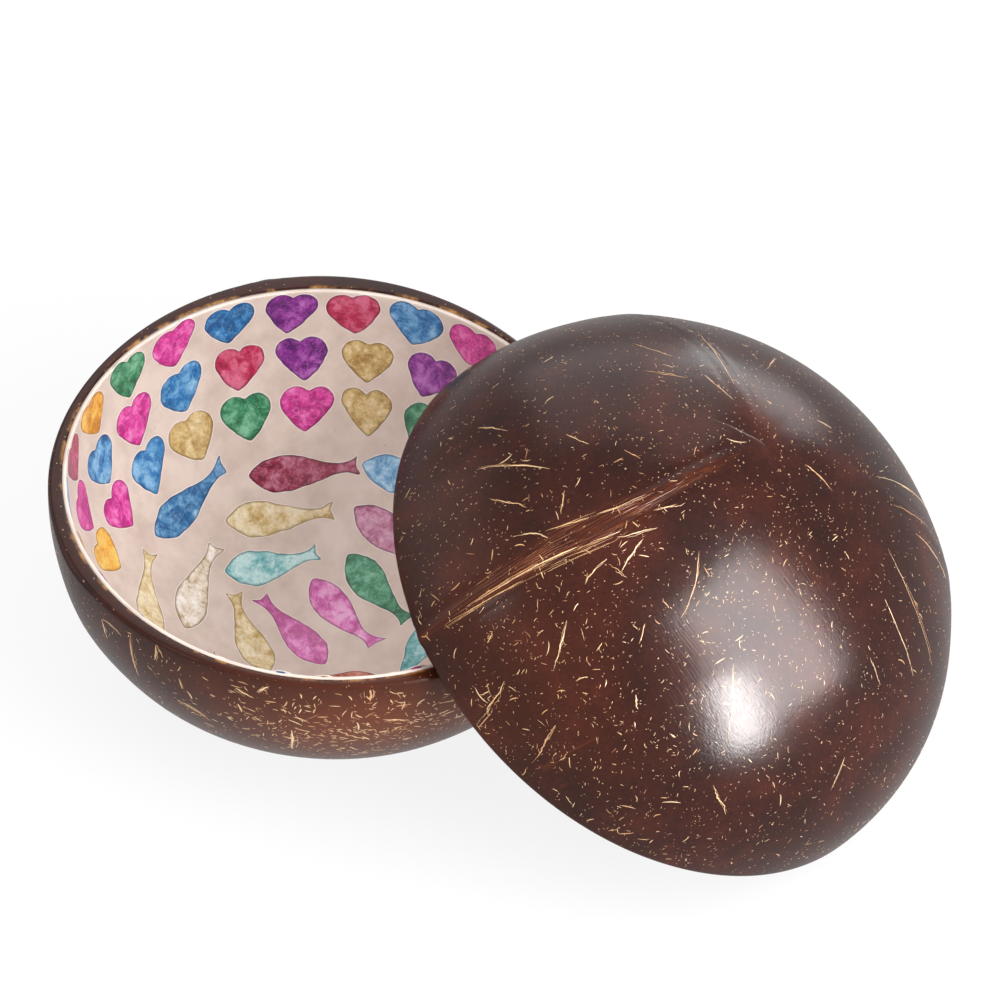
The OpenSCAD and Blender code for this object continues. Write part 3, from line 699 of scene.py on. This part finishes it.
def inlay_mesh(bowl, turn, fall, spin, loop, rng):
    """One piece of shell: a face that is a little crowned, its cut edge, and its back in the lacquer."""
    loop = evened(loop, OUTLINE_STEP)
    loop = 0.5 * loop + 0.25 * (np.roll(loop, 1, 0) + np.roll(loop, -1, 0))
    number = len(loop)
    nicks = np.convolve(np.tile(rng.normal(0, NICK, number), 3), np.ones(3) / 3, "same")[number:2 * number]
    loop = loop + nicks[:, None] * (loop / np.linalg.norm(loop, axis=1, keepdims=True))
    grid = np.meshgrid(*(np.arange(low, high, GRID_STEP) for low, high in zip(loop.min(0), loop.max(0))))
    grid = np.stack([axis.ravel() for axis in grid], 1)
    grid = grid[inside(grid, loop)]
    grid = grid[from_edge(grid, loop) > 0.75]
    # Two rows of points near the edge, where the face rounds off
    band = np.concatenate([loop + inward_of(loop) * depth for depth in (0.22, 0.5)])
    band = band[inside(band, loop)]
    band = band[from_edge(band, loop) > 0.15]
    ring = [(i, (i + 1) % number) for i in range(number)]
    flat = [Vector(p) for p in np.concatenate([loop, band, grid])]
    flat, _, faces = geometry.delaunay_2d_cdt(flat, ring, [], 1, 1e-6)[:3]
    flat, faces = np.array([tuple(p) for p in flat]), [tuple(f) for f in faces]
    edge = from_edge(flat, loop)
    rise = PROUD + SWELL * np.clip(edge / SWELL_WIDE, 0, 1) ** 0.6
    top = laid(bowl, turn, fall, spin, flat, bowl["lined"])
    out = top - np.array([0, 0, bowl["centre"]])
    out /= np.linalg.norm(out, axis=1, keepdims=True)
    n = len(flat)
    walls = [(a, b, b + n, a + n) for a, b in ring]
    backs = [tuple(i + n for i in reversed(f)) for f in faces]
    points = np.concatenate([top - out * rise[:, None], top + out * INLAY_THICK])
    return points, faces + walls + backs, np.concatenate([edge, edge * 0])


def bead_mesh(bowl, turn, fall, spin, loop):
    """The bead of lacquer against a cut edge: three rows, by distance off the edge and height."""
    loop = evened(loop, 0.7)
    outward = -inward_of(loop)
    rows = [laid(bowl, turn, fall, spin, loop + outward * away, bowl["lined"] - rise)
            for away, rise in ((-0.2, -0.05), (0.08, 0.03), (0.42, -0.05))]
    n = len(loop)
    ring = [(i, (i + 1) % n) for i in range(n)]
    faces = [(a * n + i, a * n + j, b * n + j, b * n + i)
             for a, b in ((0, 1), (1, 2), (2, 0)) for i, j in ring]
    # A half share of painted highlight, which whitens the whole bead
    return np.concatenate(rows), faces, np.full(3 * n, 0.5)


def nacre(name, deep, dye, pale):
    """Mother of pearl, dyed, ground thin and lacquered: it gives the eye clouds of dye over a pearly ground,
    pale veins, and a silky gloss."""
    made, tree, shader, spot = finish_of(name, Roughness=0.34, Coat_Weight=0.4, Coat_Roughness=0.18)
    own, edge = (add(tree, "Attribute", {"attribute_name": name}).outputs["Fac"] for name in ("own", "edge"))
    shift = add(tree, "Math", TIMES, n_0=own, n_1=57.0)
    clouds = add(tree, "TexNoise", {"noise_dimensions": "4D"}, Vector=spot, W=shift,
                 Scale=1000 / 3.4, Detail=6.0, Roughness=0.66, Distortion=0.4)
    lift = add(tree, "Math", {"operation": "MULTIPLY_ADD"}, n_0=own, n_1=0.16, n_2=-0.08)
    level = add(tree, "Math", {"operation": "ADD"}, n_0=clouds, n_1=lift)
    tone = add(tree, "ValToRGB", stops=((0.39, deep), (0.49, dye), (0.63, pale)), Fac=level)
    # Pale veins where the shell was crumpled as it was pressed to the curve, 5.5 mm apart. Its flakes are
    # under 0.1 mm, which is too fine to show, and are drawn 0.8 mm wide
    folds = add(tree, "TexNoise", {"noise_dimensions": "4D"}, Vector=spot, W=shift,
                Scale=1000 / 5.5, Detail=3.0, Roughness=0.6, Distortion=1.6)
    off_line = add(tree, "Math", {"operation": "SUBTRACT"}, n_0=folds, n_1=0.5)
    off_line = add(tree, "Math", {"operation": "ABSOLUTE"}, n_0=off_line)
    vein_share = add(tree, "MapRange", Value=off_line, From_Max=0.022, To_Min=0.4, To_Max=0.0)
    veined = add(tree, "Mix", COLOURS, n_0=vein_share, n_6=tone, n_7=pale)
    flakes = add(tree, "TexNoise", Vector=spot, Scale=1000 / 0.8, Detail=3.0, Roughness=0.7)
    flake_tone = add(tree, "MapRange", Value=flakes, From_Min=0.3, From_Max=0.7, To_Min=0.84, To_Max=1.14)
    flaked = add(tree, "Mix", {"data_type": "RGBA", "blend_type": "MULTIPLY"}, n_0=1.0,
                 n_6=veined, n_7=flake_tone)
    # Dye that soaked in at the cut edge, from 0.3 to 0.95 mm deep
    soak = add(tree, "TexNoise", Vector=spot, Scale=1000 / 2.0, Detail=3.0)
    depth = add(tree, "MapRange", Value=soak, From_Min=0.3, From_Max=0.7, To_Min=0.3, To_Max=0.95)
    near = add(tree, "Math", {"operation": "DIVIDE"}, n_0=edge, n_1=depth)
    edge_share = add(tree, "MapRange", Value=near, From_Max=1.0, To_Min=1.0, To_Max=0.0)
    soaked = add(tree, "Mix", COLOURS, n_0=edge_share,
                 n_6=flaked, n_7=[0.6 * c for c in linear(deep)[:3]] + [1.0])
    crumple = add(tree, "Math", {"operation": "ADD"}, n_0=clouds, n_1=folds)
    relief = add(tree, "Bump", Height=crumple, Strength=0.6, Distance=0.0005)
    feed(shader, Base_Color=soaked, Normal=relief)
    return made


# Deep dye, middle dye and pale ground of each colour, and of the fish that were dyed by themselves
NACRE = {
    "pink": ("#b01878", "#dc3c9c", "#f08cc8"), "blue": ("#14558f", "#2f7fbb", "#8abde0"),
    "violet": ("#5a1268", "#8c2c92", "#bd72c0"), "crimson": ("#8c0f3a", "#b8204e", "#d86c8c"),
    "gold": ("#a98446", "#caab6c", "#e6d2a4"), "amber": ("#c07a0c", "#eba52a", "#f6cf6c"),
    "green": ("#135c3c", "#2c8458", "#7cbc98"), "sky": ("#4a8cc0", "#88bfe2", "#c8e4f4"),
    "mauve": ("#8c3460", "#b5648c", "#d8a4bc"), "teal": ("#2c9090", "#78c0c2", "#c8ecea"),
    "pearl": ("#a9854c", "#dfd0b6", "#f8f2e8"), "coral": ("#a84c38", "#cc806c", "#e4b4a4")}
FISH_NACRE = {
    "pink": ("#b83c8c", "#dc68b8", "#f2b0dc"), "blue": ("#1c5c92", "#4c8cbc", "#a0c8e0"),
    "crimson": ("#6c0c2c", "#982346", "#c88098"), "gold": ("#b8943f", "#dcc48e", "#f0e3c2"),
    "green": ("#14603c", "#3c9068", "#84c4a4")}

made_finishes = {}
for bowl, side in ((OPEN, "open"), (UPTURNED, "upturned")):
    rng = np.random.default_rng(bowl["seed"])
    pieces = {}
    for k, (first, gap, colours) in enumerate(HEART_RINGS):
        colours = colours.split()
        fall = ring_fall(bowl, k)
        room = 2 * math.pi * bowl["lined"] * math.sin(math.radians(fall))
        count = int(room / (HEART_WIDE + gap))
        for i in range(count):
            spin = SWAY * math.sin(math.radians(137 * i + 60 * k))
            pieces.setdefault("hearts_" + colours[i % len(colours)], []).append(
                (first + 360 * i / count, fall, spin, heart_outline(rng)))
    last = ring_fall(bowl, len(HEART_RINGS) - 1)
    long = FISH_LONG_SHARE * bowl["lined"] * math.radians(last)
    for turn, share, heading, colour, bend in SHOAL:
        own_long = long * (1.0 if share > LOW_FALL else LOW_LENGTH)
        pieces.setdefault("fish_" + colour, []).append(
            (turn, share * last, 180 - heading, fish_outline(rng, own_long, FISH_WIDE_SHARE * long, bend)))
    beads = []
    for name, members in pieces.items():
        motif, colour = name.split("_")
        parts, own = [], []
        for place in members:
            parts.append(inlay_mesh(bowl, *place, rng))
            own.append(np.full(len(parts[-1][0]), rng.uniform(0, 1)))
            beads.append(bead_mesh(bowl, *place))
        dyed_alone = motif == "fish" and colour in FISH_NACRE
        key = "dyed_nacre_" + ("fish_" if dyed_alone else "") + colour
        if key not in made_finishes:
            made_finishes[key] = nacre(key, *(FISH_NACRE if dyed_alone else NACRE)[colour])
        points, faces, edges = joined(parts)
        part = side + "_" + name
        build(part + "_nacre", to_world(bowl, points), faces, made_finishes[key], bowl["body"],
              [part], {"edge": edges, "own": np.concatenate(own)})
    # The beads carry the painted highlight that whitens them
    points, faces, bead_highlight_share = joined(beads)
    build(side + "_lacquer_beads", to_world(bowl, points), faces, lacquer_finish, bowl["body"],
          layers={"bead": bead_highlight_share})

# The studio: a sheet of white paper as the floor, which keeps the bowls' shadow, a pale room, and soft
# light panels.
FLOOR_HALF = 6
floor_mesh = bpy.data.meshes.new("floor")
corners = [(x * FLOOR_HALF, y * FLOOR_HALF, 0) for x, y in ((-1, -1), (1, -1), (1, 1), (-1, 1))]
floor_mesh.from_pydata(corners, [], [(0, 1, 2, 3)])
floor = bpy.data.objects.new("floor", floor_mesh)
scene.collection.objects.link(floor)


def white_to_the_eye(tree):
    """One for rays that come from the camera, off a glossy coat or through one, and zero for the others."""
    path = add(tree, "LightPath")
    seen = add(tree, "Math", {"operation": "ADD"}, n_0=path.outputs["Is Camera Ray"],
               n_1=path.outputs["Is Glossy Ray"])
    return add(tree, "Math", {"operation": "ADD", "use_clamp": True}, n_0=seen,
               n_1=path.outputs["Is Transmission Ray"])


# White paper: most of it is plain white to the eye, and the rest of it takes the light and the shadow
PLAIN_WHITE = 0.86
floor_finish = bpy.data.materials.new("white_paper")
floor_finish.use_nodes = True
tree = floor_finish.node_tree
tree.nodes.clear()
glow_share = add(tree, "Math", TIMES, n_0=white_to_the_eye(tree), n_1=PLAIN_WHITE)
paper = add(tree, "BsdfDiffuse", Color="#f2f2f2")
glow = add(tree, "Emission", Color="#ffffff", Strength=1.0)
floor_mix = add(tree, "MixShader", n_0=glow_share, n_1=paper, n_2=glow)
add(tree, "OutputMaterial", Surface=floor_mix)
floor_mesh.materials.append(floor_finish)

# The room: white to the eye, and a little dimmer as light
ROOM_LIGHT = 0.62
world = bpy.data.worlds.new("studio")
scene.world = world
world.use_nodes = True
tree = world.node_tree
tree.nodes.clear()
strength = add(tree, "Math", {"operation": "MAXIMUM"}, n_0=white_to_the_eye(tree), n_1=ROOM_LIGHT)
air = add(tree, "Background", Color="#ffffff", Strength=strength)
add(tree, "OutputWorld", Surface=air)


def softbox(name, centre, aim, wide, tall, glare, shown_by="both"):
    """A soft light panel. Glare is its brightness, where 1 is white paper. It may light only colours, or
    show only in gloss."""
    light = bpy.data.lights.new("softbox_" + name, "AREA")
    light.shape, light.size, light.size_y = "RECTANGLE", wide, tall
    light.energy = glare * math.pi * wide * tall
    made = bpy.data.objects.new("softbox_" + name, light)
    made.location = centre
    made.rotation_euler = (Vector(aim) - Vector(centre)).to_track_quat("-Z", "Y").to_euler()
    made.visible_camera = False
    made.visible_diffuse = shown_by != "gloss"
    made.visible_glossy = shown_by != "colour"
    scene.collection.objects.link(made)


# At the right front, a broad panel with a bright core for the gloss, and one for the colours
softbox("right_front", (0.53, -0.27, 0.31), (0.10, -0.06, 0.07), 0.42, 0.57, 22.0, "gloss")
softbox("right_core", (0.42, -0.40, 0.10), (0.10, -0.07, 0.07), 0.11, 0.3, 74.0, "gloss")
softbox("right_fill", (0.45, -0.36, 0.50), (0.05, -0.03, 0.07), 0.42, 0.57, 7.6, "colour")
# Behind, a wide dim panel and a low one, for the sheen on the upturned bowl's top
softbox("behind", (0.05, 1.1, 0.75), (0.05, 0, 0.08), 1.1, 1.3, 1.7, "gloss")
softbox("low_behind", (0.41, 0.85, 0.23), (0.10, 0, 0.10), 0.45, 0.28, 6.0, "gloss")
# At the left, a dim panel and a small one for the sheen at the front, and one overhead for the colours
softbox("left", (-1.0, 0.27, 0.5), (0.0, 0, 0.08), 0.8, 0.8, 0.7)
softbox("left_front", (-0.55, -0.5, 0.5), (0.05, 0, 0.08), 0.16, 0.16, 6.0, "gloss")
softbox("overhead", (-0.30, -0.15, 1.6), (0.05, 0, 0), 1.0, 1.0, 2.4, "colour")

# The camera: 1.8 m away and 47 degrees up, turned 4 degrees about its own axis
CAMERA_AWAY, CAMERA_UP, CAMERA_ROLL = 1.8, math.radians(46.96), math.radians(4.08)
CAMERA_AIM = Vector((0.03894, 0.05492, 0))
FOCAL_PIXELS, PICTURE_PIXELS, SENSOR_WIDTH = 7565, 1001, 36
back = Vector((0, -math.cos(CAMERA_UP), math.sin(CAMERA_UP)))
level, steep = Vector((1, 0, 0)), Vector((0, math.sin(CAMERA_UP), math.cos(CAMERA_UP)))
right = level * math.cos(CAMERA_ROLL) + steep * math.sin(CAMERA_ROLL)
above = steep * math.cos(CAMERA_ROLL) - level * math.sin(CAMERA_ROLL)
lens = bpy.data.cameras.new("camera")
lens.sensor_fit, lens.sensor_width = "HORIZONTAL", SENSOR_WIDTH
lens.lens = FOCAL_PIXELS / PICTURE_PIXELS * SENSOR_WIDTH
camera = bpy.data.objects.new("camera", lens)
facing = Matrix((right, above, back)).transposed().to_4x4()
camera.matrix_world = Matrix.Translation(CAMERA_AIM + back * CAMERA_AWAY) @ facing
scene.collection.objects.link(camera)
scene.camera = camera
scene.view_settings.view_transform = "Standard"
